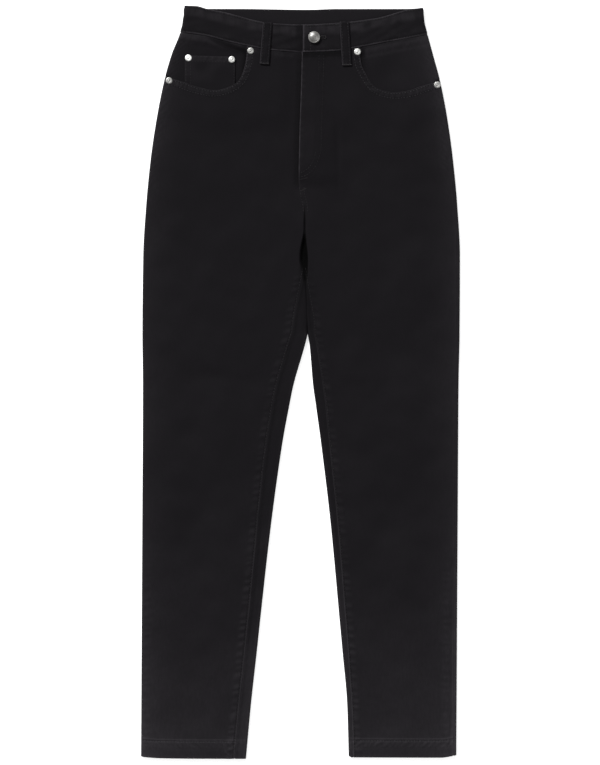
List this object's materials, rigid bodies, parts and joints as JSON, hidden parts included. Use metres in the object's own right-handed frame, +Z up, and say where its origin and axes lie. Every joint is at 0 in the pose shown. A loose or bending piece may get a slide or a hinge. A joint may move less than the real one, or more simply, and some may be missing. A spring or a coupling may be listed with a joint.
{
  "type": "slim fit jeans, laid flat",
  "caption": "Black slim fit jeans laid flat, front up, with fly lap, waistband and loops, pocket mouths, coin pocket, shank button and rivets.",
  "frame": {"origin": "on the surface the garment lies on, under the middle of its outline", "axes": "+Y from the hems to the waist, +X to the wearer's left, +Z up off the surface, front of the garment up"},
  "size_m": [0.4336, 1.0236, 0.0131],
  "materials": {
    "denim": "matte black denim, fine twill",
    "metal": "brushed satin"
  },
  "bodies": {
    "root": {"front_right": "denim", "front_left": "denim", "back_right": "denim", "back_left": "denim", "yoke_right": "denim", "yoke_left": "denim", "back_pocket_right": "denim", "back_pocket_left": "denim", "pocket_facing_right": "denim", "pocket_facing_left": "denim", "coin_pocket": "denim", "waistband": "denim", "belt_loop_front_right": "denim", "belt_loop_front_left": "denim", "belt_loop_back_right": "denim", "belt_loop_back_left": "denim", "belt_loop_centre_back": "denim", "button": "metal", "rivet_coin_outer": "metal", "rivet_coin_inner": "metal", "rivet_right_top": "metal", "rivet_right_side": "metal", "rivet_left_top": "metal", "rivet_left_side": "metal"}
  },
  "joints": []
}
